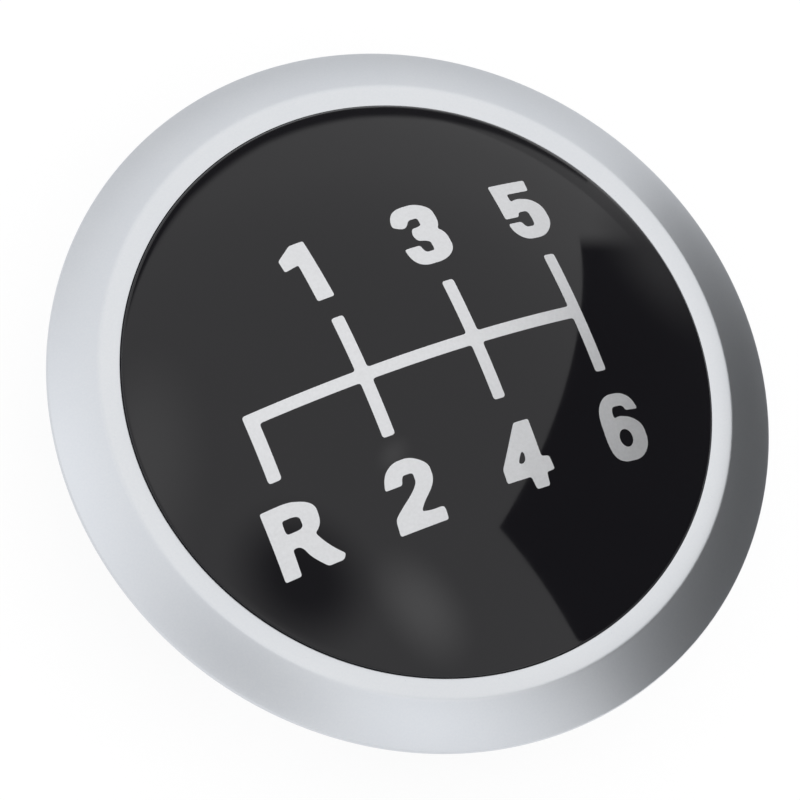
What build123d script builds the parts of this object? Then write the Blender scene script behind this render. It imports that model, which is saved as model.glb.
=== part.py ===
from build123d import *
import math
import os

# Domed cap for the top of a gear knob: a satin ring, a gloss insert and a printed shift gate.
# Millimetres, +Z up along the cap's axis, +Y towards the odd gears.
# The origin is the middle of the seat, the ring's flat underside that lies on the knob.

# Ring, in plan from its outer edge inwards
outer_radius = 19.0
flank_width = 2.4
lip_width = 1.0

# Ring, heights from the seat upwards
rim_height = 0.3
flank_rise = 1.28
lip_dip = 0.18
shelf_depth = 1.2

# Ring, softness of its edges
flank_crown = 0.06
crease_bevel = 0.15
lip_bevel = 0.12
rim_bevel = 0.08

# Spigot under the seat, which centres the cap in the knob, and its index notch
seat_width = 3.0
spigot_height = 1.6
index_width = 2.4
index_depth = 0.8

# Snap fingers below the spigot
finger_count = 4
finger_first_angle = 45.0
finger_width = 6.6
finger_thickness = 1.1
finger_step = 0.9
finger_length = 4.6
finger_root_bevel = 0.3
barb_clearance = 0.25
barb_top_drop = 2.7
barb_top_slope = 0.25
barb_land = 0.5
tip_thickness = 0.7

# Insert: a domed shell that lies on the ring's shelf
insert_gap = 0.1
insert_proud = 0.2
dome_radius = 27.9
insert_wall = 1.6
insert_foot_width = 1.4
insert_edge_bevel = 0.27
insert_bevel_angle = 62.0

# Key on the shelf, which keeps the gate upright in the ring
key_width = 2.0
key_depth = 0.6
key_height = 0.5
key_gap = 0.1

# Shift gate: one bar, three gear columns and the reverse leg, inlaid in the dome
line_width = 0.65
gate_depth = 0.15
gate_left_margin = 4.95
gate_right_margin = 7.21
reverse_pitch = 5.88
column_reach = 3.34
bar_offset = 0.27

# Ring, places that follow from the sizes above
crease_radius = outer_radius - flank_width
rebate_radius = crease_radius - lip_width
crease_z = rim_height + flank_rise
lip_z = crease_z - lip_dip
shelf_z = lip_z - shelf_depth
spigot_radius = outer_radius - seat_width
finger_outer = spigot_radius - finger_step
finger_inner = finger_outer - finger_thickness
barb_radius = spigot_radius - barb_clearance

# Insert, places that follow from the sizes above
insert_radius = rebate_radius - insert_gap
insert_foot_radius = insert_radius - insert_foot_width
dome_edge_z = lip_z + insert_proud
dome_centre_z = dome_edge_z - math.sqrt(dome_radius**2 - insert_radius**2)
dome_top_z = dome_centre_z + dome_radius


def corner_of(face, point):
    """Corner of a flat outline that lies at a given point."""
    return face.vertices().sort_by_distance(point)[0]


def ring_body():
    """Turn the ring's section: rim, crowned flank, lip, rebate with its shelf, and spigot."""
    foot = Vector(outer_radius, rim_height)
    crease = Vector(crease_radius, crease_z)
    lip_edge = Vector(rebate_radius, lip_z)
    slope = crease - foot
    crown_point = (foot + crease) / 2 + Vector(slope.Y, -slope.X).normalized() * flank_crown
    section = make_face(
        ThreePointArc(foot, crown_point, crease)
        + Polyline(
            crease,
            lip_edge,
            (rebate_radius, shelf_z),
            (finger_inner, shelf_z),
            (finger_inner, -spigot_height),
            (spigot_radius, -spigot_height),
            (spigot_radius, 0),
            (outer_radius, 0),
            foot,
        )
    )
    section = chamfer(corner_of(section, crease), crease_bevel)
    section = chamfer(corner_of(section, lip_edge), lip_bevel)
    section = chamfer(corner_of(section, foot), rim_bevel)
    return revolve(Plane.XZ * section, Axis.Z)


def snap_finger():
    """Turn one snap finger with its barb through the arc that it takes up, centred on +X."""
    root_z = -spigot_height
    barb_z = root_z - barb_top_drop
    tip_z = root_z - finger_length
    section = make_face(
        Polyline(
            (finger_outer + finger_root_bevel, root_z),
            (finger_outer, root_z - finger_root_bevel),
            (finger_outer, barb_z),
            (barb_radius, barb_z - barb_top_slope),
            (barb_radius, barb_z - barb_top_slope - barb_land),
            (finger_inner + tip_thickness, tip_z),
            (finger_inner, tip_z),
            (finger_inner, root_z),
            close=True,
        )
    )
    arc = math.degrees(finger_width / finger_outer)
    return Rot(0, 0, -arc / 2) * revolve(Plane.XZ * section, Axis.Z, revolution_arc=arc)


def shelf_key(gap=0.0):
    """Block that stands on the shelf against the rebate's wall at +Y, grown by a gap all round."""
    inner_y = rebate_radius - key_depth - gap
    block = Box(key_width + 2 * gap, key_depth + gap + lip_width / 2, key_height + gap,
                align=(Align.CENTER, Align.MIN, Align.MIN))
    return Pos(0, inner_y, shelf_z) * block


def bezel_ring():
    """Ring with its snap fingers, the index notch in its spigot and the insert's key."""
    ring = ring_body()
    finger = snap_finger()
    for number in range(finger_count):
        ring += Rot(0, 0, finger_first_angle + 360 / finger_count * number) * finger
    notch = Box(index_width, 2 * index_depth, spigot_height, align=(Align.CENTER, Align.CENTER, Align.MAX))
    ring -= Pos(0, -spigot_radius, 0) * notch
    return ring + shelf_key()


def dome_ball(radius):
    """Ball about the dome's centre, with its poles on the Y axis, clear of the cap."""
    return Pos(0, 0, dome_centre_z) * Rot(90, 0, 0) * Sphere(radius)


def upright_cylinder(radius):
    """Cylinder about the cap's axis, from the shelf to above the dome."""
    return Pos(0, 0, shelf_z) * Cylinder(radius, 2 * (dome_top_z - shelf_z),
                                         align=(Align.CENTER, Align.CENTER, Align.MIN))


def gate_plan():
    """Outline of the shift gate in plan."""
    left_x = gate_left_margin - insert_radius
    right_x = insert_radius - gate_right_margin
    reverse_x = left_x + line_width / 2
    last_x = right_x - line_width / 2
    first_x = reverse_x + reverse_pitch
    plan = Pos((left_x + right_x) / 2, bar_offset) * Rectangle(right_x - left_x, line_width)
    for column_x in (first_x, (first_x + last_x) / 2, last_x):
        plan += Pos(column_x, bar_offset) * Rectangle(line_width, 2 * column_reach)
    leg_length = column_reach + line_width / 2
    leg = Rectangle(line_width, leg_length, align=(Align.CENTER, Align.MAX))
    return plan + Pos(reverse_x, bar_offset + line_width / 2) * leg


def gate_recess():
    """Upright walls of the gate, from its floor in the dome to above the dome's top."""
    prism = Pos(0, 0, shelf_z) * extrude(gate_plan(), 2 * (dome_top_z - shelf_z))
    return prism - dome_ball(dome_radius - gate_depth)


def gate_lines():
    """Gate as one thin inlay whose top lies flush with the dome."""
    return gate_recess() & dome_ball(dome_radius)


def insert_disc():
    """Domed shell with a bevelled edge, a flat foot, the key's notch and the gate's recess."""
    bevel_z = dome_edge_z - insert_edge_bevel
    peak_z = bevel_z + insert_radius * math.tan(math.radians(insert_bevel_angle))
    section = make_face(
        Polyline((0, shelf_z), (insert_radius, shelf_z), (insert_radius, bevel_z), (0, peak_z), close=True)
    )
    disc = revolve(Plane.XZ * section, Axis.Z) & dome_ball(dome_radius)
    disc -= upright_cylinder(insert_foot_radius) & dome_ball(dome_radius - insert_wall)
    disc -= shelf_key(key_gap)
    return disc - gate_recess()


os.makedirs("parts", exist_ok=True)
for node, solid in (("bezel_ring", bezel_ring()), ("insert_disc", insert_disc()), ("gate_lines", gate_lines())):
    export_step(solid, f"parts/{node}.step")
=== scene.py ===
"""Looks of a gear knob cap: satin ring, gloss black insert, silver shift gate and numerals.

Sizes are millimetres in the cap's own frame. +Z runs up along the cap's axis, z = 0 is the ring's seat and
+Y points to the odd gears. Points become metres where a mesh is written.
"""

import logging
import math
from dataclasses import dataclass, field
from enum import Enum

import bmesh
import bpy
import numpy as np
from mathutils import Matrix, Vector
from mathutils.geometry import delaunay_2d_cdt


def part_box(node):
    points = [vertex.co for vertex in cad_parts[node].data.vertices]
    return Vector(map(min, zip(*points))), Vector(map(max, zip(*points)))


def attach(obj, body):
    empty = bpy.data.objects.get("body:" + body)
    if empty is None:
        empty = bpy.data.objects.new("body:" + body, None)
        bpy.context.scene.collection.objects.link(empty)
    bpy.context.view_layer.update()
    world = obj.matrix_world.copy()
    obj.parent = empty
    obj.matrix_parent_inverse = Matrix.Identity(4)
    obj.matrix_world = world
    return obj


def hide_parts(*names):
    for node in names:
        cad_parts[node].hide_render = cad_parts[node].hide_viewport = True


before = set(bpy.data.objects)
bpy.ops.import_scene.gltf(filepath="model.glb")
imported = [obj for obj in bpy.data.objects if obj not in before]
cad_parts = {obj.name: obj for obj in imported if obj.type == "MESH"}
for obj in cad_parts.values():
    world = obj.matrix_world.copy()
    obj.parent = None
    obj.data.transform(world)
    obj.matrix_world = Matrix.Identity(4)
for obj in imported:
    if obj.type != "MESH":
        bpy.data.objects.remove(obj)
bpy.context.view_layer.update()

Pair = tuple[float, float]
Spot = tuple[float, float, float]
Colour = tuple[float, float, float]
Socket = bpy.types.NodeSocket
Thing = bpy.types.Object

LOG = logging.getLogger("cap")
MM = 0.001  # metres
WELD = 0.0002  # points nearer than this are one
CUT_LIMIT = 1e-6  # the same, where outlines are cut into triangles
HULL_CUT = 0  # way of cutting that fills the outlines' convex hull
COLUMNS = 360  # round a turned piece
POCKET_COLUMNS = 9  # across a pocket
SHARP_ANGLE = 35.0  # degrees between faces, above which an edge stays sharp
DOME_RADIUS = 27.9
FLOOR_GAP = 0.02  # between the floor and the fingers' tips


class Slot(Enum):
    """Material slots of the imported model."""

    CHROME = "satin_chrome"
    BLACK = "gloss_black"
    PRINT = "silver_print"


class Side(Enum):
    """Ends of the Y axis, as angles from +X."""

    ODD = 0.5 * math.pi
    EVEN = 1.5 * math.pi


class Fade(Enum):
    """Ways in which a studio card fades out."""

    NONE = "not at all"
    ROUND = "from its middle to its sides"
    TOP = "towards its upper edge"
    SIDE = "towards its last side"


def node_box(node: str) -> np.ndarray:
    """Give a CAD node's box as its low and high corners in millimetres."""
    return np.array([list(corner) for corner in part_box(node)]) / MM


def surface(name: str, points: np.ndarray, faces: list[list[int]]) -> Thing:
    """Write a surface as an object at the origin and link it to the scene.

    Args:
        name: Name of the object and its mesh.
        points: Places in millimetres, one row each.
        faces: Point numbers of each face.

    Returns:
        The new object.
    """
    mesh = bpy.data.meshes.new(name)
    mesh.from_pydata((points * MM).tolist(), [], faces)
    thing = bpy.data.objects.new(name, mesh)
    bpy.context.scene.collection.objects.link(thing)
    return thing


@dataclass(frozen=True)
class Shell:
    """Surface before it becomes a mesh."""

    points: np.ndarray  # places in millimetres, one row each
    faces: list[list[int]]  # point numbers of each face, counter-clockwise from outside

    @staticmethod
    def joined(shells: list["Shell"]) -> "Shell":
        """Put several shells into one.

        Args:
            shells: Shells in the order in which their points are numbered.

        Returns:
            One shell with all points and faces.
        """
        starts = np.cumsum([0] + [len(shell.points) for shell in shells])
        faces = [[number + start for number in face]
                 for shell, start in zip(shells, starts.tolist()) for face in shell.faces]
        return Shell(np.concatenate([shell.points for shell in shells]), faces)

    def piece(self, name: str) -> Thing:
        """Write the shell as an object: welded, smooth and with its steep edges kept sharp.

        Args:
            name: Name of the object.

        Returns:
            The new object.
        """
        thing = surface(name, self.points, self.faces)
        work = bmesh.new()
        work.from_mesh(thing.data)
        bmesh.ops.remove_doubles(work, verts=work.verts, dist=WELD * MM)
        bmesh.ops.dissolve_degenerate(work, edges=work.edges, dist=WELD * MM)
        work.to_mesh(thing.data)
        work.free()
        thing.data.shade_smooth()
        thing.data.set_sharp_from_angle(angle=math.radians(SHARP_ANGLE))
        return thing


def grid_faces(rows: int, columns: int, wrap_rows: bool, wrap_columns: bool) -> np.ndarray:
    """Number the quads of a grid whose point (i, j) is i * columns + j.

    Args:
        rows: Number of rows.
        columns: Number of columns.
        wrap_rows: Whether the last row joins the first.
        wrap_columns: Whether the last column joins the first.

    Returns:
        One row of four point numbers for each quad, turning from the row's direction to the column's.
    """
    i = np.arange(rows if wrap_rows else rows - 1)[:, None]
    j = np.arange(columns if wrap_columns else columns - 1)[None, :]
    below = (i + 1) % rows
    beside = (j + 1) % columns
    corners = (i * columns + j, below * columns + j, below * columns + beside, i * columns + beside)
    return np.stack(np.broadcast_arrays(*corners), axis=-1).reshape(-1, 4)


def rounded(corners: np.ndarray, radii: np.ndarray, steps: int = 6) -> np.ndarray:
    """Replace the corners of a closed outline by arcs.

    At a corner P the arc starts radius * tan(turn / 2) before P and ends as far after it. Its points swing
    about a centre on the corner's middle line, from the side before to the side after.

    Args:
        corners: Corner points, one row each, running clockwise.
        radii: Radius at each corner, 0 for a sharp one.
        steps: Number of chords in each arc.

    Returns:
        The points of the outline in the same direction.
    """
    before = corners - np.roll(corners, 1, axis=0)
    before /= np.linalg.norm(before, axis=1, keepdims=True)
    after = np.roll(before, -1, axis=0)
    cross = before[:, 0] * after[:, 1] - before[:, 1] * after[:, 0]
    turn = np.arctan2(cross, (before * after).sum(axis=1))
    left_normal = np.stack([-before[:, 1], before[:, 0]], axis=1)
    start = corners - before * (radii * np.tan(np.abs(turn) / 2.0))[:, None]
    centre = start + left_normal * np.sign(turn)[:, None] * radii[:, None]
    swing = turn[:, None] * np.linspace(0.0, 1.0, steps + 1)
    spoke = (start - centre)[:, None, :]
    cos, sin = np.cos(swing), np.sin(swing)
    arc_x = spoke[..., 0] * cos - spoke[..., 1] * sin
    arc_y = spoke[..., 0] * sin + spoke[..., 1] * cos
    outline = (centre[:, None, :] + np.stack([arc_x, arc_y], axis=-1)).reshape(-1, 2)
    return outline[np.linalg.norm(outline - np.roll(outline, 1, axis=0), axis=1) > WELD]


def crowned(start: Pair, end: Pair, crown: float, points: int) -> np.ndarray:
    """Give a swollen line: the straight line plus a parabola of the crown's height, on its left.

    Args:
        start: First end.
        end: Second end.
        crown: Height of the parabola at the middle.
        points: Number of points, without the two ends.

    Returns:
        The points between the ends, one row each.
    """
    along = np.linspace(0.0, 1.0, points + 2)[1:-1, None]
    run = np.subtract(end, start)
    normal = np.array([-run[1], run[0]]) / np.linalg.norm(run)
    return start + run * along + normal * crown * 4.0 * along * (1.0 - along)


def nearest_row(profile: np.ndarray, place: Pair) -> int:
    """Give the number of the profile's row that lies nearest to a place."""
    return int(np.argmin(np.linalg.norm(profile - place, axis=1)))


@dataclass(frozen=True)
class Gap:
    """Opening in a turned piece, for another shell to be welded in."""

    angles: np.ndarray  # of its columns, from end to end
    start: Pair  # radius and height at which it starts on the profile
    end: Pair


@dataclass(frozen=True)
class Pocket:
    """Flat step in the wall of a turned piece, square to the Y axis, with radial ends."""

    side: Side
    width: float
    wall: float  # radius of the wall
    flat: float  # distance of its flat from the cap's axis
    wall_z: float  # height at which it ends on the wall
    floor_z: float  # height of the floor beside the wall, where its flat ends

    @property
    def half_angle(self) -> float:
        """Half of its angle at the axis."""
        return math.asin(self.width / 2.0 / self.wall)

    @property
    def floor_end(self) -> Pair:
        """Radius and height of its corners on the floor."""
        return self.flat / math.cos(self.half_angle), self.floor_z

    def rows(self, profile: np.ndarray) -> list[int]:
        """Find the lower and the higher row of a profile at which it ends."""
        return sorted(nearest_row(profile, end) for end in ((self.wall, self.wall_z), self.floor_end))


def spokes(pockets: list[Pocket], gaps: list[Gap]) -> tuple[np.ndarray, np.ndarray]:
    """Lay out the columns of a turned piece: even steps, with a pocket's or a gap's own columns in its place.

    A pocket's edge columns come twice, once outside and once inside. The plan's second row puts columns at
    the same angle in order.

    Args:
        pockets: Flat steps of the piece.
        gaps: Openings of the piece.

    Returns:
        Angle of each column, and the number of the pocket that it belongs to, -1 for none.
    """
    even = np.linspace(0.0, 2.0 * np.pi, COLUMNS, endpoint=False)
    plan = np.stack([even, np.ones(COLUMNS), np.full(COLUMNS, -1.0)])
    for number, pocket in enumerate(pockets):
        outside = np.abs(plan[0] - pocket.side.value) > pocket.half_angle
        inside = pocket.side.value + np.linspace(-pocket.half_angle, pocket.half_angle, POCKET_COLUMNS)
        edges = np.stack([inside[[0, -1]], [0.0, 2.0], [-1.0, -1.0]])
        own = np.stack([inside, np.ones(POCKET_COLUMNS), np.full(POCKET_COLUMNS, number)])
        plan = np.concatenate([plan[:, outside], edges, own], axis=1)
    for gap in gaps:
        outside = (plan[0] < gap.angles[0]) | (plan[0] > gap.angles[-1])
        own = np.stack([gap.angles, np.ones(len(gap.angles)), np.full(len(gap.angles), -1.0)])
        plan = np.concatenate([plan[:, outside], own], axis=1)
    angle, order, owner = plan
    in_turn = np.lexsort((order, angle))
    return angle[in_turn], owner[in_turn]


def turned(profile: np.ndarray, closed: bool, pockets: list[Pocket], gaps: list[Gap]) -> Shell:
    """Carry a profile round the cap's axis.

    Point (i, j) is (r_i cos a_j, r_i sin a_j, z_i). In a pocket's columns the pocket's rows take the radius
    flat / |sin a_j|, which puts them on a plane square to the Y axis. A pocket's end rows come twice.

    Args:
        profile: Radius and height of each row. It runs outwards over the top and inwards below.
        closed: Whether the last row joins the first. Otherwise both ends lie on the axis.
        pockets: Flat steps to make.
        gaps: Openings to leave.

    Returns:
        The shell, closed but for its gaps.
    """
    angle, owner = spokes(pockets, gaps)
    ends = np.array([pocket.rows(profile) for pocket in pockets])
    doubled = np.sort(ends.ravel())
    profile = np.insert(profile, doubled, profile[doubled], axis=0)
    radius, height = np.repeat(profile.T[:, :, None], len(angle), axis=2)
    for number, (first, last) in enumerate(ends):
        start = first + np.searchsorted(doubled, first, "right")
        stop = last + np.searchsorted(doubled, last) + 1
        here = np.flatnonzero(owner == number)
        radius[start:stop, here] = pockets[number].flat / np.abs(np.sin(angle[here]))
    points = np.stack([radius * np.cos(angle), radius * np.sin(angle), height], axis=-1)
    faces = grid_faces(len(radius), len(angle), closed, True).reshape(-1, len(angle), 4)
    kept = np.ones(faces.shape[:2], dtype=bool)
    middle = angle + (np.roll(angle, -1) - angle) % (2.0 * np.pi) / 2.0
    for gap in gaps:
        here = (middle > gap.angles[0]) & (middle < gap.angles[-1])
        kept[nearest_row(profile, gap.start):nearest_row(profile, gap.end), here] = False
    used, numbers = np.unique(faces[kept], return_inverse=True)
    return Shell(points.reshape(-1, 3)[used], numbers.reshape(-1, 4).tolist())


class Bench:
    """Node tree of a material or a world, with short calls for what the finishes share."""

    def __init__(self, owner: bpy.types.Material | bpy.types.World) -> None:
        """Take up the nodes of a material or a world.

        Args:
            owner: The material or the world.
        """
        owner.use_nodes = True
        self.nodes = owner.node_tree.nodes
        self.links = owner.node_tree.links

    def put(self, socket: Socket, value: object) -> None:
        """Link another socket to a socket, or set the socket's value.

        Args:
            socket: The socket.
            value: Socket to link, or the value itself.
        """
        if isinstance(value, Socket):
            self.links.new(value, socket)
        else:
            socket.default_value = value

    def node(self, kind: str, inputs: dict[str | int, object], **settings: object) -> bpy.types.Node:
        """Add a node.

        Args:
            kind: Type of the node, as in its type name after "ShaderNode".
            inputs: Socket or value for each input, by the input's name or number.
            settings: Properties of the node.

        Returns:
            The new node.
        """
        node = self.nodes.new(f"ShaderNode{kind}")
        for name, value in settings.items():
            setattr(node, name, value)
        for key, value in inputs.items():
            self.put(node.inputs[key], value)
        return node

    def coordinates(self, kind: str) -> Socket:
        """Give the coordinates of one kind, such as Object or UV."""
        return self.node("TexCoord", {}).outputs[kind]

    def place(self) -> Socket:
        """Give the point's place on the object in millimetres."""
        inputs = {0: self.coordinates("Object"), "Scale": 1.0 / MM}
        return self.node("VectorMath", inputs, operation="SCALE").outputs["Vector"]

    def part(self, place: Socket, axis: str) -> Socket:
        """Give a place's part along one axis."""
        return self.node("SeparateXYZ", {0: place}).outputs[axis]

    def span(self, place: Socket, point: Spot) -> Socket:
        """Give the distance of a place from a point."""
        return self.node("VectorMath", {0: place, 1: point}, operation="DISTANCE").outputs["Value"]

    def noise(self, place: Socket, scale: float, detail: float = 2.0) -> Socket:
        """Give a noise about 0.5, with a number of features per millimetre and of finer layers."""
        return self.node("TexNoise", {"Vector": place, "Scale": scale, "Detail": detail}).outputs["Fac"]

    def ramp(self, value: Socket, start: Pair, end: Pair, **settings: object) -> Socket:
        """Map a value from start to end, each an input and its output, and hold it beyond them."""
        limits = dict(zip(("From Min", "To Min", "From Max", "To Max"), start + end))
        return self.node("MapRange", {"Value": value, **limits}, **settings).outputs["Result"]

    def spread(self, noise: Socket, low: float, high: float, reach: float = 0.3) -> Socket:
        """Map a noise from low to high, within a reach about its middle of 0.5."""
        return self.ramp(noise, (0.5 - reach, low), (0.5 + reach, high))

    def merge(self, first: Socket, second: Socket, operation: str = "ADD") -> Socket:
        """Join two values by one operation."""
        return self.node("Math", {0: first, 1: second}, operation=operation).outputs["Value"]

    def tint(self, share: Socket, low: Colour, high: Colour) -> Socket:
        """Blend two colours by the share of the second."""
        inputs = {"Factor": share, "A": (*low, 1.0), "B": (*high, 1.0)}
        return self.node("Mix", inputs, data_type="RGBA").outputs["Result"]

    def glow(self, strength: float) -> Socket:
        """Give a shader that glows plain white."""
        return self.node("Emission", {"Strength": strength}).outputs["Emission"]

    def show(self, share: object, first: Socket, second: Socket) -> None:
        """Let the surface be a blend of two shaders by the share of the second."""
        blend = self.node("MixShader", {"Fac": share, 1: first, 2: second})
        self.put(self.nodes["Material Output"].inputs["Surface"], blend.outputs["Shader"])

    def set(self, **inputs: object) -> None:
        """Put sockets or values into the main shader's inputs, with underscores for spaces in their names."""
        for name, value in inputs.items():
            self.put(self.nodes["Principled BSDF"].inputs[name.replace("_", " ")], value)

    def bump(self, height: Socket, depth: float) -> None:
        """Let a height from 0 to 1, which spans a depth in millimetres, stir the main shader's normal."""
        node = self.node("Bump", {"Height": height, "Strength": 1.0, "Distance": depth * MM})
        self.set(Normal=node.outputs["Normal"])


class Finish:
    """Anything that makes a material, by laying its own nodes on a bench."""

    def lay(self, bench: Bench) -> None:
        """Lay the finish's nodes on a bench."""
        raise NotImplementedError

    def material(self, name: str) -> bpy.types.Material:
        """Make the material.

        Args:
            name: Name of the material.

        Returns:
            The material.
        """
        material = bpy.data.materials.new(name)
        self.lay(Bench(material))
        return material


@dataclass(frozen=True)
class SatinChrome(Finish):
    """Plating with a fine satin grain, duller below the seat, with a painted highlight: a brighter colour on
    the lip.
    """

    crease: float  # radius at which lip and flank meet
    bright: Colour = (0.744, 0.760, 0.784)
    deep: Colour = (0.662, 0.687, 0.727)
    # Shares of the bright colour: on the lip as a painted highlight, in slow clouds and in a grain, which
    # adds or takes it
    lip_highlight_share: float = 0.65
    cloud_share: float = 0.35
    speck_share: float = 0.25
    # Roughness of lip, flank and underside, and what a grain adds or takes
    turned: float = 0.3
    satin: float = 0.41
    rough: float = 0.52
    stir: float = 0.03
    # Half of the width of the changes at the crease and at the seat
    blend: float = 0.15
    seat_blend: float = 0.05
    # Features per millimetre, and the grain's finer layers and depth
    cloud_scale: float = 0.22
    grain_scale: float = 9.0
    grain_layers: float = 3.0
    grain_depth: float = 0.0006

    def lay(self, bench: Bench) -> None:
        """Lay the plating: colour and roughness follow the radius, the height, slow clouds and a grain. The
        brighter colour inside the crease is a painted highlight on the lip.

        Args:
            bench: Node tree of the material.
        """
        place = bench.place()
        plan = bench.node("VectorMath", {0: place, 1: (1.0, 1.0, 0.0)}, operation="MULTIPLY")
        radius = bench.span(plan.outputs["Vector"], (0.0, 0.0, 0.0))
        inner, outer = self.crease - self.blend, self.crease + self.blend
        # painted highlight: inside the crease the lip takes a share of the brighter colour, standing in for
        # the light it catches
        lip = bench.ramp(radius, (inner, self.lip_highlight_share), (outer, 0.0))
        cloud = bench.spread(bench.noise(place, self.cloud_scale), 0.0, self.cloud_share)
        grain = bench.noise(place, self.grain_scale, self.grain_layers)
        speck = bench.spread(grain, -self.speck_share, self.speck_share)
        shares = bench.merge(bench.merge(cloud, lip), speck)
        top = bench.ramp(radius, (inner, self.turned), (outer, self.satin))
        dull = self.rough - self.satin
        below = bench.ramp(bench.part(place, "Z"), (-self.seat_blend, dull), (self.seat_blend, 0.0))
        stir = bench.spread(grain, -self.stir, self.stir)
        roughness = bench.merge(bench.merge(top, below), stir)
        bench.set(Base_Color=bench.tint(shares, self.deep, self.bright), Roughness=roughness, Metallic=1.0)
        bench.bump(grain, self.grain_depth)


@dataclass(frozen=True)
class GlossBlack(Finish):
    """Polished black plastic, matt inside the shell."""

    centre_z: float  # height of the dome's centre
    shell_radius: float  # radius about that centre which parts outside from inside
    black: Colour = (0.0058, 0.0055, 0.0072)
    bloom: Colour = (0.0070, 0.0066, 0.0084)
    # Roughness outside, what a smear adds or takes, and roughness added inside
    polish: float = 0.055
    smear: float = 0.01
    matt: float = 0.45
    index: float = 1.43  # of refraction
    blend: float = 0.1  # half of the depth over which outside becomes inside
    # Features per millimetre, the smears' finer layers and reach, and the depth of slow waves
    cloud_scale: float = 0.16
    smear_scale: float = 0.9
    smear_layers: float = 4.0
    smear_reach: float = 0.2
    wave: float = 0.004

    def lay(self, bench: Bench) -> None:
        """Lay the plastic: the distance from the dome's centre parts the polish from the matt inside.

        Args:
            bench: Node tree of the material.
        """
        place = bench.place()
        outwards = bench.span(place, (0.0, 0.0, self.centre_z))
        inner, outer = self.shell_radius - self.blend, self.shell_radius + self.blend
        inside = bench.ramp(outwards, (inner, self.matt), (outer, 0.0))
        cloud = bench.noise(place, self.cloud_scale)
        smears = bench.noise(place, self.smear_scale, self.smear_layers)
        polish = bench.spread(smears, self.polish - self.smear, self.polish + self.smear, self.smear_reach)
        colour = bench.tint(cloud, self.black, self.bloom)
        bench.set(Base_Color=colour, Roughness=bench.merge(polish, inside), IOR=self.index)
        bench.bump(cloud, self.wave)


@dataclass(frozen=True)
class SilverPrint(Finish):
    """Satin silver foil with a fine speckle."""

    pale: Colour = (0.836, 0.843, 0.860)
    deep: Colour = (0.704, 0.710, 0.724)
    satin: float = 0.58  # roughness
    stir: float = 0.03  # roughness that a grain adds or takes
    metal: float = 0.92  # share that shines as metal
    # Grains per millimetre, their finer layers and depth
    grain_scale: float = 6.0
    grain_layers: float = 3.0
    grain_depth: float = 0.0004

    def lay(self, bench: Bench) -> None:
        """Lay the foil: one speckle gives its colour, its roughness and its grain.

        Args:
            bench: Node tree of the material.
        """
        speckle = bench.noise(bench.place(), self.grain_scale, self.grain_layers)
        colour = bench.tint(speckle, self.deep, self.pale)
        roughness = bench.spread(speckle, self.satin - self.stir, self.satin + self.stir)
        bench.set(Base_Color=colour, Roughness=roughness, Metallic=self.metal)
        bench.bump(speckle, self.grain_depth)


@dataclass(frozen=True)
class WhitePaper(Finish):
    """Pale floor that reads as white, with part of its colour left to carry the shadow."""

    deep: Colour = (0.84, 0.84, 0.84)
    pale: Colour = (0.85, 0.85, 0.85)
    rough: float = 0.9
    fibre_scale: float = 0.4  # fibres per millimetre
    fibre_layers: float = 3.0
    glow_share: float = 0.84  # share of the picture's view of it that is plain white
    glow: float = 1.05  # strength of that white

    def lay(self, bench: Bench) -> None:
        """Lay the paper: rays that show it see mostly plain white, and all others see pale paper.

        Args:
            bench: Node tree of the material.
        """
        fibre = bench.noise(bench.place(), self.fibre_scale, self.fibre_layers)
        colour = bench.tint(fibre, self.deep, self.pale)
        bench.set(Base_Color=colour, Roughness=self.rough, Specular_IOR_Level=0.0)
        rays = bench.node("LightPath", {}).outputs
        seen = bench.merge(rays["Is Camera Ray"], rays["Is Glossy Ray"], "MAXIMUM")
        seen = bench.merge(seen, rays["Is Transmission Ray"], "MAXIMUM")
        share = bench.ramp(seen, (0.0, 0.0), (1.0, self.glow_share))
        bench.show(share, bench.nodes["Principled BSDF"].outputs["BSDF"], bench.glow(self.glow))


@dataclass(frozen=True)
class CardFace(Finish):
    """Face of a studio card: an even brightness that can fade out."""

    level: float  # brightness, where the open studio is 1
    share: float = 1.0  # share of the studio behind that it covers
    fade: Fade = Fade.NONE
    soft: float = 0.0  # share of its half width, or of its length, over which it fades out

    def cover(self, bench: Bench) -> Socket:
        """Give the share that a fading card covers at each place.

        Args:
            bench: Node tree of the card.

        Returns:
            Socket with the share.
        """
        layout = bench.coordinates("UV")
        if self.fade is Fade.ROUND:
            along, edge = bench.span(layout, (0.5, 0.5, 0.0)), 0.5
        else:
            along, edge = bench.part(layout, "Y" if self.fade is Fade.TOP else "X"), 1.0
        start = (edge * (1.0 - self.soft), self.share)
        return bench.ramp(along, start, (edge, 0.0), interpolation_type="SMOOTHSTEP")

    def lay(self, bench: Bench) -> None:
        """Lay the card's face, clear where it covers nothing.

        Args:
            bench: Node tree of the material.
        """
        clear = bench.node("BsdfTransparent", {}).outputs["BSDF"]
        share = self.share if self.fade is Fade.NONE else self.cover(bench)
        bench.show(share, clear, bench.glow(self.level))


def dress(piece: Thing, material: bpy.types.Material, node: str = "") -> Thing:
    """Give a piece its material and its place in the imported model.

    Args:
        piece: The piece.
        material: Its material.
        node: CAD node that it stands for, if any.

    Returns:
        The same piece.
    """
    piece.data.materials.append(material)
    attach(piece, "root")
    if node:
        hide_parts(node)
    LOG.info("%s: %d faces, %s", piece.name, len(piece.data.polygons), material.name)
    return piece


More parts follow.
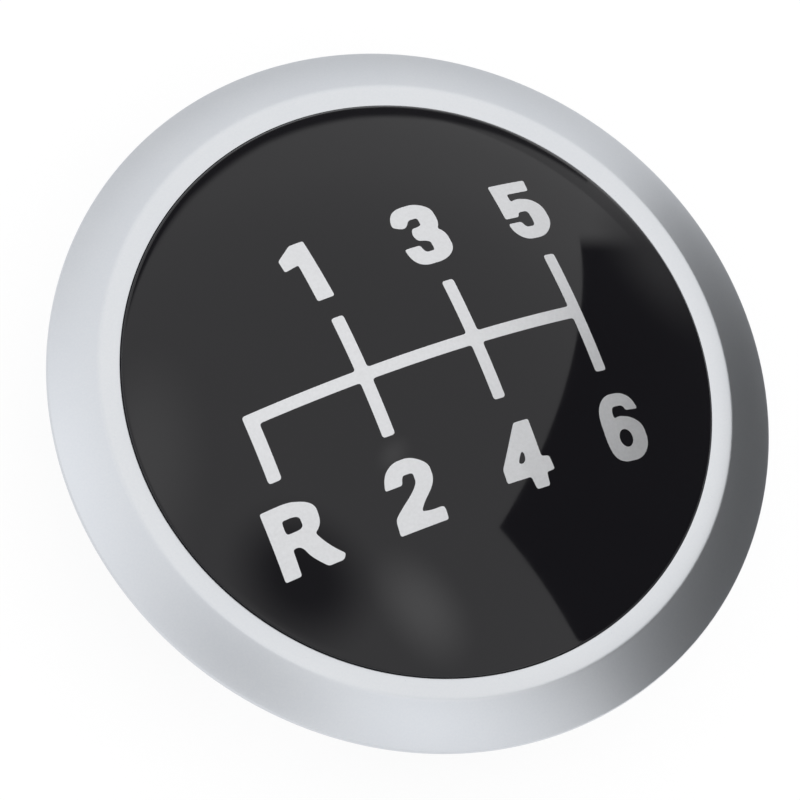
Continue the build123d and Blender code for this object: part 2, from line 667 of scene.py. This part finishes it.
@dataclass(frozen=True)
class BezelRing:
    """Ring of satin chrome: rim, crowned flank, lip, rebate, spigot and snap fingers in one moulding."""

    # Widths in plan from the outer edge inwards, and heights from the seat upwards
    flank_width: float = 2.38
    lip_width: float = 1.12
    rim_height: float = 0.3
    flank_rise: float = 1.21
    lip_dip: float = 0.03
    shelf_depth: float = 1.28
    # Swell of flank and lip over their straight lines, and points along them
    flank_crown: float = 0.06
    flank_points: int = 9
    lip_crown: float = 0.03
    lip_points: int = 5
    # Radii of its edges
    crease_round: float = 0.5
    rim_round: float = 0.1
    seat_round: float = 0.08
    spigot_round: float = 0.15
    bore_round: float = 0.15
    lip_round: float = 0.06
    # Spigot below the seat with its index notch, and the insert's key on the shelf
    seat_width: float = 3.0
    spigot_height: float = 1.6
    index_width: float = 2.4
    index_depth: float = 0.8
    key_width: float = 2.0
    key_depth: float = 0.6
    key_height: float = 0.5
    # Snap fingers: along the arc, through the wall and at their edges
    finger_count: int = 4
    finger_width: float = 6.6
    finger_columns: int = 23
    finger_thickness: float = 1.1
    finger_step: float = 0.9
    finger_root: float = 0.3
    finger_edge: float = 0.08
    # Radii of web, barb's root, barb's two crests and tip's two edges, and chords in each
    finger_rounds: tuple[float, ...] = (0.3, 0.2, 0.1, 0.15, 0.2, 0.12)
    finger_chords: int = 4
    # Barb: step from the spigot, and heights from the spigot downwards
    barb_clearance: float = 0.25
    barb_drop: float = 2.7
    barb_slope: float = 0.25
    barb_land: float = 0.5
    tip_thickness: float = 0.7
    box: np.ndarray = field(default_factory=lambda: node_box("bezel_ring"))

    @property
    def outer(self) -> float:
        """Radius of the ring."""
        return float(self.box[1, 0])

    @property
    def crease(self) -> Pair:
        """Radius and height of the crease between flank and lip."""
        return self.outer - self.flank_width, self.rim_height + self.flank_rise

    @property
    def lip(self) -> Pair:
        """Radius and height of the lip's inner edge."""
        return self.crease[0] - self.lip_width, self.crease[1] - self.lip_dip

    @property
    def shelf_z(self) -> float:
        """Height of the shelf."""
        return self.lip[1] - self.shelf_depth

    @property
    def spigot(self) -> float:
        """Radius of the spigot."""
        return self.outer - self.seat_width

    @property
    def root_z(self) -> float:
        """Height of the spigot's underside, where the fingers start."""
        return -self.spigot_height

    @property
    def finger_outer(self) -> float:
        """Radius of the fingers' outside."""
        return self.spigot - self.finger_step

    @property
    def bore(self) -> float:
        """Radius of the opening inside spigot and fingers."""
        return self.finger_outer - self.finger_thickness

    @property
    def key(self) -> Pocket:
        """Key on the shelf, against the rebate's wall."""
        wall, low, high = self.lip[0], self.shelf_z, self.shelf_z + self.key_height
        return Pocket(Side.ODD, self.key_width, wall, wall - self.key_depth, high, low)

    @property
    def notch(self) -> Pocket:
        """Index notch in the spigot."""
        flat = self.spigot - self.index_depth
        return Pocket(Side.EVEN, self.index_width, self.spigot, flat, 0.0, self.root_z)

    @property
    def finger_ends(self) -> tuple[Pair, Pair]:
        """Radius and height at which a finger leaves the spigot's underside and meets its bore."""
        root = (self.finger_outer + self.finger_root, self.root_z)
        return root, (self.bore, self.root_z + self.bore_round)

    def section(self) -> np.ndarray:
        """Walk round the ring's section: over the lip and the flank, under the spigot and up the rebate.

        Returns:
            Radius and height of each point.
        """
        rim_top = (self.outer, self.rim_height)
        wall = self.lip[0]
        lip_line = crowned(self.lip, self.crease, self.lip_crown, self.lip_points)
        flank_line = crowned(self.crease, rim_top, self.flank_crown, self.flank_points)
        walk = [(point, 0.0) for point in lip_line] + [(self.crease, self.crease_round)]
        walk += [(point, 0.0) for point in flank_line]
        walk += [
            (rim_top, self.rim_round),
            ((self.outer, 0.0), self.seat_round),
            ((self.spigot, 0.0), 0.0),
            ((self.spigot, self.root_z), self.spigot_round),
            (self.finger_ends[0], 0.0),
            (self.notch.floor_end, 0.0),
            ((self.bore, self.root_z), self.bore_round),
            ((self.bore, self.shelf_z), self.bore_round),
            (self.key.floor_end, 0.0),
            ((wall, self.shelf_z), 0.0),
            ((wall, self.key.wall_z), 0.0),
            (self.lip, self.lip_round),
        ]
        return rounded(np.array([point for point, _ in walk]), np.array([radius for _, radius in walk]))

    def body(self) -> Shell:
        """Turn the ring's section, with the key and the index notch, and weld the fingers into it.

        Returns:
            The whole ring.
        """
        section = self.section()
        half, bevel = self.finger_width / self.finger_outer / 2.0, self.finger_edge / self.finger_outer
        inner = np.linspace(bevel - half, half - bevel, self.finger_columns)
        spread = np.concatenate([[-half], inner, [half]])
        pitch = 2.0 * np.pi / self.finger_count
        start, end = self.finger_ends
        gaps = [Gap(pitch * (number + 0.5) + spread, start, end) for number in range(self.finger_count)]
        root_line = section[nearest_row(section, start):nearest_row(section, end) + 1]
        fingers = [self.finger(gap.angles, root_line) for gap in gaps]
        return Shell.joined([turned(section, True, [self.key, self.notch], gaps)] + fingers)

    def finger(self, angle: np.ndarray, root_line: np.ndarray) -> Shell:
        """Sweep one snap finger's section along its arc and close it with two ends.

        Point (i, j) is the section's point i at the angle j. The section runs from the root down to the tip
        and up to the bore. At both ends it is drawn in along its own normals, by the end bevel below the root
        and by nothing at the root, and a flat face joins it to the spigot's own section.

        Args:
            angle: Angles from end to end.
            root_line: The spigot's section between the finger's root and the bore.

        Returns:
            The finger, open at its root.
        """
        barb = self.spigot - self.barb_clearance
        barb_z = self.root_z - self.barb_drop
        crest_z = barb_z - self.barb_slope
        web_z = self.root_z - self.finger_root
        tip_z = float(self.box[0, 2])
        corners = [
            tuple(root_line[0]),
            (self.finger_outer, web_z),
            (self.finger_outer, barb_z),
            (barb, crest_z),
            (barb, crest_z - self.barb_land),
            (self.bore + self.tip_thickness, tip_z),
            (self.bore, tip_z),
            (self.bore, web_z),
            (self.bore, self.root_z),
            tuple(root_line[-1]),
        ]
        radii = np.array([0.0, *self.finger_rounds, 0.0, 0.0, 0.0])
        section = rounded(np.array(corners), radii, self.finger_chords)
        edge = np.roll(section, -1, axis=0) - np.roll(section, 1, axis=0)
        inward = np.stack([edge[:, 1], -edge[:, 0]], axis=1) / np.linalg.norm(edge, axis=1, keepdims=True)
        drawn = self.finger_edge * np.clip((self.root_z - section[:, 1]) / self.finger_root, 0.0, 1.0)
        columns = len(angle)
        place = np.repeat(section[:, None, :], columns, axis=1)
        place[:, [0, -1]] += (inward * drawn[:, None])[:, None, :]
        seam = np.repeat(root_line[1:-1, None, :], 2, axis=1)
        radius, height = np.concatenate([place.reshape(-1, 2), seam.reshape(-1, 2)]).T
        turn = np.concatenate([np.tile(angle, len(section)), np.tile(angle[[0, -1]], len(seam))])
        points = np.stack([radius * np.cos(turn), radius * np.sin(turn), height], axis=1)
        rows = np.arange(len(section)) * columns
        first = len(section) * columns + 2 * np.arange(len(seam))
        near_end = np.concatenate([rows[::-1], first])
        far_end = np.concatenate([rows + columns - 1, first[::-1] + 1])
        sides = grid_faces(len(section), columns, False, False)
        return Shell(points, sides.tolist() + [near_end.tolist(), far_end.tolist()])

    def build(self) -> Thing:
        """Make the ring with its fingers and plate it."""
        plating = SatinChrome(self.crease[0]).material("satin_chrome_plating")
        return dress(self.body().piece("ring_moulding"), plating, "bezel_ring")


@dataclass(frozen=True)
class Dome:
    """Ball that carries the insert's top and all the print."""

    radius: float
    top: float

    @property
    def centre_z(self) -> float:
        """Height of the ball's centre."""
        return self.top - self.radius

    def height(self, x: np.ndarray, y: np.ndarray, sunk: float = 0.0) -> np.ndarray:
        """Give the height over (x, y): the centre's plus the root of (radius less sunk)^2 - x^2 - y^2."""
        return self.centre_z + np.sqrt((self.radius - sunk) ** 2 - x**2 - y**2)

    def arc(self, sunk: float, start: float, end: float, points: int) -> np.ndarray:
        """Walk along the ball's section, at (ball sin a, centre + ball cos a) for even steps of a.

        Args:
            sunk: Depth below the dome, measured to its centre.
            start: Radius in plan at the start.
            end: Radius in plan at the end.
            points: Number of points.

        Returns:
            Radius in plan and height of each point.
        """
        ball = self.radius - sunk
        lean = np.linspace(math.asin(start / ball), math.asin(end / ball), points)
        return np.stack([ball * np.sin(lean), self.centre_z + ball * np.cos(lean)], axis=1)


@dataclass(frozen=True)
class InsertDisc:
    """Domed shell in gloss black that lies on the ring's shelf."""

    dome: Dome
    wall: float = 1.6  # thickness of the dome
    foot_width: float = 1.4
    edge_round: float = 0.3
    edge_chords: int = 12
    ease: float = 0.01  # play of the side inside its box
    print_depth: float = 0.012  # depth of the dome below the print's top
    # Notch for the ring's key, with its flat's distance from the axis and its height over the foot
    key_width: float = 2.2
    key_flat: float = 14.9
    key_height: float = 0.6
    # Points along the sections of dome and hollow
    top_points: int = 60
    hollow_points: int = 40
    box: np.ndarray = field(default_factory=lambda: node_box("insert_disc"))

    @property
    def outer(self) -> float:
        """Radius of the side."""
        return float(self.box[1, 0]) - self.ease

    def edge(self) -> np.ndarray:
        """Give the round between dome and side.

        Its centre lies one round's radius inside both, so it touches the dome on the line from the dome's
        centre and the side at its own height.

        Returns:
            Radius and height of each point, from the dome to the side.
        """
        reach = self.dome.radius - self.print_depth - self.edge_round
        middle_r = self.outer - self.edge_round
        middle_z = self.dome.centre_z + math.sqrt(reach**2 - middle_r**2)
        swing = np.linspace(math.asin(middle_r / reach), np.pi / 2.0, self.edge_chords + 1)
        return (middle_r, middle_z) + self.edge_round * np.stack([np.sin(swing), np.cos(swing)], axis=1)

    def shell(self) -> Shell:
        """Turn the section from the dome's top over the edge, under the foot and up inside the hollow.

        Returns:
            The closed shell with the key's notch.
        """
        foot_z = float(self.box[0, 2])
        inner = self.outer - self.foot_width
        edge = self.edge()
        top = self.dome.arc(self.print_depth, 0.0, edge[0, 0], self.top_points)[:-1]
        notch = Pocket(Side.ODD, self.key_width, self.outer, self.key_flat, foot_z + self.key_height, foot_z)
        side = np.array([(self.outer, notch.wall_z), (self.outer, foot_z), notch.floor_end, (inner, foot_z)])
        hollow = self.dome.arc(self.wall, inner, 0.0, self.hollow_points)
        return turned(np.concatenate([top, edge, side, hollow]), False, [notch], [])

    def build(self) -> Thing:
        """Make the insert and polish it.

        Returns:
            The insert.
        """
        finish = GlossBlack(self.dome.centre_z, self.dome.radius - self.wall / 2.0)
        plastic = finish.material("gloss_black_plastic")
        return dress(self.shell().piece("insert_shell"), plastic, "insert_disc")


@dataclass(frozen=True)
class Loop:
    """Closed outline of corners and bends."""

    places: np.ndarray  # one row each
    bends: np.ndarray  # whether each place bends the line instead of lying on it

    @staticmethod
    def read(text: str) -> "Loop":
        """Read an outline from its places, where a bend has a tilde in front.

        Args:
            text: The places.

        Returns:
            The outline.
        """
        words = text.split()
        places = np.array([word.lstrip("~").split(",") for word in words], dtype=float)
        return Loop(places, np.array([word.startswith("~") for word in words]))

    def softened(self, soft: float, most: float = 1.0 / 2.2) -> "Loop":
        """Cut every corner back on both sides and let the corner bend the line.

        Args:
            soft: Length that is cut back.
            most: Greatest share of the way to the next place that is cut back.

        Returns:
            The outline with two places and a bend for each corner.
        """
        runs = np.stack([np.roll(self.places, step, axis=0) - self.places for step in (1, -1)])
        lengths = np.linalg.norm(runs, axis=2, keepdims=True)
        before, after = self.places + runs / lengths * np.minimum(soft, lengths * most)
        kept = np.stack([~self.bends, np.full(len(self.bends), True), ~self.bends], axis=1)
        bends = np.tile([False, True, False], (len(self.bends), 1))
        return Loop(np.stack([before, self.places, after], axis=1)[kept], bends[kept])

    def sampled(self, step: float) -> np.ndarray:
        """Walk the outline in even steps.

        Two bends in a row have a place half-way between them. A bend B between places P and Q is the curve
        (1 - t)^2 P + 2 t (1 - t) B + t^2 Q, and a straight run bends at its middle.

        Args:
            step: Greatest length of a step.

        Returns:
            The points of the outline.
        """
        between = (np.roll(self.places, -1, axis=0) + self.places) / 2.0
        extra = np.flatnonzero(self.bends == np.roll(self.bends, -1))
        places = np.insert(self.places, extra + 1, between[extra], axis=0)
        bends = np.insert(self.bends, extra + 1, ~self.bends[extra])
        places = np.roll(places, -int(np.argmin(bends)), axis=0)
        start, bend, end = places[0::2], places[1::2], np.roll(places, -2, axis=0)[0::2]
        lengths = np.linalg.norm(bend - start, axis=1) + np.linalg.norm(end - bend, axis=1)
        counts = np.maximum(2, np.ceil(lengths / step)).astype(int)
        span = np.repeat(np.arange(len(start)), counts)
        t = ((np.arange(len(span)) - np.repeat(np.cumsum(counts) - counts, counts)) / counts[span])[:, None]
        return (1.0 - t) ** 2 * start[span] + 2.0 * t * (1.0 - t) * bend[span] + t**2 * end[span]


class Gear(Enum):
    """Signs of the gears from reverse upwards, each with its outline and, where it has one, its counter.

    A place is "x,y" in millimetres from the foot of the sign's gate column, and "~x,y" bends the line there.
    """

    R = ("-1.21,3.65 -0.20,3.65 ~0.25,3.62 0.55,3.51 ~1.36,3.20 1.36,2.62 ~1.36,2.05 0.95,1.74 ~1.35,0.95"
         " 2.02,0.30 1.86,0.04 1.10,0.04 ~0.45,0.70 0.25,1.20 ~0.05,1.45 -0.28,1.42 -0.25,0.10 -1.05,0.10",
         "-0.37,2.66 ~-0.36,2.89 -0.14,2.89 ~0.46,2.89 0.50,2.52 ~0.50,2.18 0.05,2.18 -0.10,2.18 ~-0.32,2.18"
         " -0.37,2.42")
    G1 = ("0.33,3.50 0.41,0.05 -0.49,0.05 -0.49,2.30 -1.25,2.17 -1.28,2.88 -0.42,3.50",)
    G2 = ("-1.13,2.30 -0.23,2.30 ~-0.12,2.73 0.12,2.73 ~0.46,2.73 0.46,2.46 ~0.46,2.05 -0.35,1.45 ~-0.95,1.00"
          " -1.08,0.76 -1.10,0.01 1.47,0.01 1.48,0.46 ~1.44,0.70 1.16,0.71 ~0.75,0.70 0.30,0.80 ~0.50,1.15"
          " 0.95,1.55 ~1.38,2.00 1.38,2.50 ~1.38,2.92 ~0.58,3.50 0.10,3.50 ~-0.38,3.50 ~-1.02,2.98",)
    G3 = ("-1.30,2.58 ~-1.25,3.05 ~-0.75,3.57 -0.05,3.57 ~0.45,3.57 ~1.18,3.10 1.18,2.66 ~1.18,2.15 0.93,1.85"
          " ~1.25,1.55 1.25,1.04 ~1.25,0.52 ~0.55,0.02 -0.08,0.02 ~-0.75,0.00 ~-1.28,0.55 -1.30,1.18"
          " -0.43,1.18 ~-0.35,0.72 -0.04,0.72 ~0.21,0.72 0.21,1.02 ~0.21,1.32 -0.37,1.44 ~-0.58,1.82"
          " -0.36,2.20 ~0.19,2.22 0.19,2.48 ~0.19,2.73 -0.05,2.73 ~-0.32,2.73 -0.50,2.48 ~-0.80,2.25",)
    G4 = ("0.20,3.43 1.05,3.43 1.08,1.48 1.50,1.40 1.58,0.70 1.10,0.66 1.05,0.00 0.30,0.00 0.18,0.66"
          " -1.18,0.66 -1.18,1.38",
          "0.21,1.88 ~0.19,1.50 -0.05,1.37 -0.25,1.45 ~-0.12,1.70 0.08,1.97")
    G5 = ("-1.27,3.46 1.02,3.46 0.92,2.79 -0.46,2.79 -0.46,2.33 ~-0.05,2.43 0.25,2.37 ~0.72,2.28 ~1.23,1.75"
          " 1.23,1.24 ~1.23,0.68 ~0.48,-0.02 -0.15,-0.02 ~-0.72,-0.03 ~-1.28,0.55 -1.31,1.06 -0.52,1.06"
          " ~-0.40,0.70 -0.12,0.70 ~0.20,0.70 0.20,1.18 ~0.20,1.62 -0.12,1.62 ~-0.40,1.62 -0.50,1.36"
          " -1.33,1.36",)
    G6 = ("0.60,2.60 ~0.50,2.89 0.12,2.89 ~-0.27,2.89 -0.26,2.30 ~0.05,2.38 0.35,2.32 ~0.78,2.22 ~1.34,1.76"
          " 1.36,1.32 ~1.38,0.75 ~0.70,0.09 0.06,0.11 ~-0.55,0.09 ~-1.14,0.70 -1.13,1.85 ~-1.15,2.80"
          " ~-0.42,3.56 0.16,3.53 ~0.62,3.53 ~1.22,3.12 1.34,2.56",
          "~0.24,0.80 ~0.48,1.06 ~0.48,1.44 ~0.24,1.70 ~-0.08,1.70 ~-0.32,1.44 ~-0.32,1.06 ~-0.08,0.80")

    @property
    def loops(self) -> list[Loop]:
        """Outline and counter of the sign."""
        return [Loop.read(text) for text in self.value]


@dataclass(frozen=True)
class Print:
    """Thin silver print that lies flush on the dome."""

    dome: Dome
    soft: float  # softening of the corners
    step: float  # length of a step along the outline
    depth: float = 0.04  # of the print's underside below its top

    def shell(self, loops: list[Loop], place: Pair) -> Shell:
        """Lay outlines on the dome as one thin solid.

        The flat outline is cut into triangles, and those whose middle lies inside by the even-odd rule are
        kept. Each point then takes the dome's height for the top and a depth below it for the underside. An
        edge that no other triangle shares gets a wall.

        Args:
            loops: Outline and counters.
            place: Place of the outlines' origin.

        Returns:
            The closed shell.
        """
        walks = [loop.softened(self.soft).sampled(self.step) + place for loop in loops]
        flat = np.concatenate(walks)
        numbers = np.split(np.arange(len(flat)), np.cumsum([len(walk) for walk in walks])[:-1])
        following = np.concatenate([np.roll(group, -1) for group in numbers])
        edges = np.stack([np.arange(len(flat)), following], axis=1)
        points, _, triangles, *_ = delaunay_2d_cdt(flat.tolist(), edges.tolist(), [], HULL_CUT, CUT_LIMIT)
        spots, sheet = np.array([list(point) for point in points]), np.array(triangles)
        sheet = sheet[self.inside(spots[sheet].mean(axis=1), flat, flat[following])]
        corner, second, third = spots[sheet].transpose(1, 0, 2)
        run, lift = second - corner, third - corner
        upwards = run[:, 0] * lift[:, 1] - run[:, 1] * lift[:, 0] > 0.0
        sheet = np.where(upwards[:, None], sheet, sheet[:, ::-1])
        count = len(spots)
        start, end = np.concatenate([sheet[:, [0, 1]], sheet[:, [1, 2]], sheet[:, [2, 0]]]).T
        alone = ~np.isin(start * count + end, end * count + start)
        start, end = start[alone], end[alone]
        walls = np.stack([start, start + count, end + count, end], axis=1)
        top = np.column_stack([spots, self.dome.height(*spots.T)])
        bottom = np.column_stack([spots, self.dome.height(*spots.T, self.depth)])
        faces = sheet.tolist() + (sheet[:, ::-1] + count).tolist() + walls.tolist()
        return Shell(np.concatenate([top, bottom]), faces)

    @staticmethod
    def inside(spots: np.ndarray, starts: np.ndarray, ends: np.ndarray) -> np.ndarray:
        """Test places by the even-odd rule: a ray towards +X crosses the outline an odd number of times.

        Args:
            spots: Places to test.
            starts: First points of the outline's edges.
            ends: Second points of the outline's edges.

        Returns:
            Whether each place lies inside.
        """
        y = spots[:, 1, None]
        spans = (starts[:, 1] > y) != (ends[:, 1] > y)
        rise = np.where(ends[:, 1] == starts[:, 1], 1.0, ends[:, 1] - starts[:, 1])
        cross_x = starts[:, 0] + (y - starts[:, 1]) / rise * (ends[:, 0] - starts[:, 0])
        return (spans & (cross_x > spots[:, 0, None])).sum(axis=1) % 2 == 1


@dataclass(frozen=True)
class ShiftGate:
    """Shift gate and its signs in silver print."""

    dome: Dome
    finish: Finish = SilverPrint()
    line: float = 0.65  # width of a line
    pitch: float = 5.88  # from the reverse leg to the first gear column
    # Feet of the signs above and below the gate
    odd_foot: float = 4.70
    even_foot: float = -7.87
    # Softening of corners and steps along outlines
    line_soft: float = 0.16
    line_step: float = 0.12
    sign_soft: float = 0.12
    sign_step: float = 0.08
    box: np.ndarray = field(default_factory=lambda: node_box("gate_lines"))

    @property
    def columns(self) -> list[float]:
        """Work out the columns: two at the gate's ends, one a pitch from reverse, one half-way to the last.

        Returns:
            Place along X of the reverse leg and of the three gear columns.
        """
        reverse, last = self.box[0, 0] + self.line / 2.0, self.box[1, 0] - self.line / 2.0
        first = reverse + self.pitch
        return [reverse, first, (first + last) / 2.0, last]

    def outline(self) -> Loop:
        """Walk round the gate: along its lower side to the right and back along its upper side.

        Returns:
            The gate's outline.
        """
        half = self.line / 2.0
        low, high = self.box[:, 1]
        bar = (low + high) / 2.0
        reverse, first, middle, last = self.columns
        under, over = bar - half, bar + half
        walk = [(reverse - half, low), (reverse + half, low), (reverse + half, under)]
        for column in (first, middle):
            left, right = column - half, column + half
            walk += [(left, under), (left, low), (right, low), (right, under)]
        left, right = last - half, last + half
        walk += [(left, under), (left, low), (right, low), (right, high), (left, high), (left, over)]
        for column in (middle, first):
            left, right = column - half, column + half
            walk += [(right, over), (right, high), (left, high), (left, over)]
        walk.append((reverse - half, over))
        return Loop(np.array(walk), np.zeros(len(walk), dtype=bool))

    def build(self) -> list[Thing]:
        """Print the gate and its signs: reverse and even gears below it, odd gears above.

        Returns:
            The gate and the seven signs.
        """
        foil = self.finish.material("silver_foil")
        lines = Print(self.dome, self.line_soft, self.line_step)
        gate = lines.shell([self.outline()], (0.0, 0.0)).piece("gate_print")
        pieces = [dress(gate, foil, "gate_lines")]
        signs = Print(self.dome, self.sign_soft, self.sign_step)
        for number, gear in enumerate(Gear):
            foot = (self.columns[(number + 1) // 2], self.odd_foot if number % 2 else self.even_foot)
            sign = signs.shell(gear.loops, foot).piece(f"mark_{gear.name.lower()}")
            pieces.append(dress(sign, foil))
        return pieces


@dataclass(frozen=True)
class Card:
    """Studio card that shows only in the gloss of the cap: a strip between two edges."""

    name: str
    lower: tuple[Spot, ...]  # places along its lower edge
    upper: tuple[Spot, ...]  # as many along its upper edge
    face: CardFace

    @staticmethod
    def facing(name: str, azimuth: float, elevation: float, distance: float, size: Pair, face: CardFace,
               roll: float = 0.0) -> "Card":
        """Lay out a card square to a direction from the cap.

        Args:
            name: Name of the card.
            azimuth: Direction of its middle from +X towards +Y, in degrees.
            elevation: Height of its middle over the horizon, in degrees.
            distance: Distance of its middle from the origin.
            size: Width and height.
            face: Its face.
            roll: Turn about its own middle, in degrees.

        Returns:
            The card.
        """
        turn, rise = math.radians(azimuth), math.radians(elevation)
        out = np.array([math.cos(rise) * math.cos(turn), math.cos(rise) * math.sin(turn), math.sin(rise)])
        level = np.array([-math.sin(turn), math.cos(turn), 0.0])
        cos, sin = math.cos(math.radians(roll)), math.sin(math.radians(roll))
        across = (level * cos + np.cross(out, level) * sin) * size[0] / 2.0
        up = (np.cross(out, level) * cos - level * sin) * size[1] / 2.0
        middle = out * distance
        lower, upper = ((tuple(edge - across), tuple(edge + across)) for edge in (middle - up, middle + up))
        return Card(name, lower, upper, face)

    def build(self) -> Thing:
        """Set the card up as part of the stage.

        Point (i, j) is place j of edge i. The UV map runs from 0 to 1 along the edges and from low to high.

        Returns:
            The card.
        """
        count = len(self.lower)
        faces = grid_faces(2, count, False, False)[:, ::-1]
        layout = np.column_stack([np.tile(np.linspace(0.0, 1.0, count), 2), np.repeat([0.0, 1.0], count)])
        card = surface(self.name, np.array(self.lower + self.upper), faces.tolist())
        card.data.uv_layers.new(name="card").data.foreach_set("uv", layout[faces.ravel()].ravel())
        card.data.materials.append(self.face.material(self.name))
        card.visible_camera = False
        card.visible_diffuse = False
        card.visible_shadow = False
        return card


@dataclass(frozen=True)
class Studio:
    """Plain white studio: pale floor, even light and the dark and bright cards that the gloss shows."""

    floor_z: float
    paper: Finish = WhitePaper()
    reach: float = 900.0  # half of the floor's side
    # Light overhead and at the horizon, and sines of the heights between which it rises
    light: float = 1.0
    low_light: float = 0.75
    horizon: float = -0.05
    rise: float = 0.42
    # Flag: dark card beyond the highest gears, with a pale card before it
    flag_x: float = 48.0
    bounce_gap: float = 2.0
    # Shelf: dark strip beyond the odd gears, with its upper edge along X and Z
    shelf_y: float = 45.0
    shelf_top: tuple[Pair, ...] = ((90.0, -4.4), (46.0, 1.5), (19.0, 6.0), (5.0, 8.9), (-9.0, 13.2),
                                   (-26.0, 20.2), (-40.0, 26.0))
    shelf_height: float = 4.6
    low_top: float = 2.8  # upper edge of the low grey card

    def strips(self) -> list[Card]:
        """Lay out the cards that stand round the cap: flag, bounce, shelf and low card.

        Returns:
            The cards.
        """
        flag, bounce, floor_z, y = self.flag_x, self.flag_x - self.bounce_gap, self.floor_z, self.shelf_y
        shelf_low = tuple((x, y, max(z - self.shelf_height, floor_z)) for x, z in self.shelf_top)
        return [
            Card("flag_card",
                 lower=((flag, -88.0, floor_z), (flag, 15.5, floor_z)),
                 upper=((flag, -64.5, 126.0), (flag, 24.4, 13.7)),
                 face=CardFace(level=0.05, fade=Fade.SIDE, soft=0.035)),
            Card("bounce_card",
                 lower=((bounce, 0.0, -11.0), (bounce, 26.0, -11.0)),
                 upper=((bounce, 0.0, 15.0), (bounce, 26.0, 15.0)),
                 face=CardFace(level=0.28, fade=Fade.ROUND, soft=1.0)),
            Card("shelf_card",
                 lower=shelf_low,
                 upper=tuple((x, y, z) for x, z in self.shelf_top),
                 face=CardFace(level=0.06, share=0.96, fade=Fade.TOP, soft=0.4)),
            Card("low_card",
                 lower=((40.0, 72.0, floor_z), (100.0, 25.0, floor_z)),
                 upper=((40.0, 72.0, self.low_top), (100.0, 25.0, self.low_top)),
                 face=CardFace(level=0.52)),
        ]

    def lamps(self) -> list[Card]:
        """Lay out the cards that face the cap from above: the lens's dark and three lights.

        Returns:
            The cards.
        """
        return [
            Card.facing("lens_card", azimuth=-140.0, elevation=56.0, distance=330.0, size=(250.0, 205.0),
                        face=CardFace(level=0.0, share=0.85, fade=Fade.ROUND, soft=0.8), roll=-15.0),
            Card.facing("side_light_card", azimuth=-93.0, elevation=53.0, distance=300.0, size=(105.0, 190.0),
                        face=CardFace(level=2.0, share=0.9, fade=Fade.ROUND, soft=0.95), roll=25.0),
            Card.facing("left_light_card", azimuth=158.0, elevation=39.0, distance=260.0, size=(260.0, 150.0),
                        face=CardFace(level=1.45, fade=Fade.ROUND, soft=0.9)),
            Card.facing("top_light_card", azimuth=-60.0, elevation=86.0, distance=300.0, size=(60.0, 40.0),
                        face=CardFace(level=1.5, fade=Fade.ROUND, soft=0.95)),
        ]

    def floor(self) -> Thing:
        """Lay the floor.

        Returns:
            The floor.
        """
        corners = np.array([(-1.0, -1.0), (1.0, -1.0), (1.0, 1.0), (-1.0, 1.0)]) * self.reach
        floor = surface("floor", np.column_stack([corners, np.full(4, self.floor_z)]), [[0, 1, 2, 3]])
        floor.data.materials.append(self.paper.material("white_paper"))
        return floor

    def sky(self) -> bpy.types.World:
        """Light the studio evenly from above, with a soft fall towards the horizon.

        Returns:
            The world that gives the light.
        """
        world = bpy.data.worlds.new("studio")
        bench = Bench(world)
        height = bench.part(bench.coordinates("Generated"), "Z")
        low, full = (self.horizon, self.low_light), (self.rise, self.light)
        sockets = bench.nodes["Background"].inputs
        bench.put(sockets["Color"], (1.0, 1.0, 1.0, 1.0))
        bench.put(sockets["Strength"], bench.ramp(height, low, full, interpolation_type="SMOOTHSTEP"))
        bpy.context.scene.world = world
        return world

    def build(self) -> None:
        """Lay the floor, light the studio and set up the cards."""
        for thing in [self.floor(), self.sky()] + [card.build() for card in self.strips() + self.lamps()]:
            LOG.info("%s is set up", thing.name)


@dataclass(frozen=True)
class PhotoCamera:
    """Camera of the picture."""

    # Directions are in degrees, the azimuth from -Y towards +X
    aim: Spot = (-1.909, -0.744, 3.0)
    azimuth: float = -56.899
    elevation: float = 64.073
    roll: float = 35.995
    distance: float = 276.306
    lens: float = 247.5
    sensor: float = 36.0
    clip: Pair = (5.0, 10000.0)  # nearest and farthest that it sees

    def build(self) -> Thing:
        """Set the camera up and make it the scene's own.

        Returns:
            The camera.
        """
        turn, rise = math.radians(self.azimuth), math.radians(self.elevation)
        back = Vector((math.sin(turn) * math.cos(rise), -math.cos(turn) * math.cos(rise), math.sin(rise)))
        level = Vector((0.0, 0.0, 1.0)).cross(back).normalized()
        basis = Matrix((level, back.cross(level), back)).transposed().to_4x4()
        spot = Matrix.Translation((Vector(self.aim) + back * self.distance) * MM)
        data = bpy.data.cameras.new("photo_camera")
        data.lens = self.lens
        data.sensor_width = self.sensor
        data.clip_start, data.clip_end = np.multiply(self.clip, MM).tolist()
        camera = bpy.data.objects.new("photo_camera", data)
        camera.matrix_world = spot @ basis @ Matrix.Rotation(math.radians(self.roll), 4, "Z")
        bpy.context.scene.collection.objects.link(camera)
        bpy.context.scene.camera = camera
        return camera


def main() -> None:
    """Build the cap, the studio and the camera, in that order, and show colours as they are written."""
    logging.basicConfig(level=logging.INFO, format="%(name)s: %(message)s")
    dome = Dome(DOME_RADIUS, float(node_box("gate_lines")[1, 2]))
    BezelRing().build()
    InsertDisc(dome).build()
    ShiftGate(dome).build()
    Studio(float(node_box("bezel_ring")[0, 2]) - FLOOR_GAP).build()
    PhotoCamera().build()
    bpy.context.scene.view_settings.view_transform = "Standard"


if __name__ == "__main__":
    main()
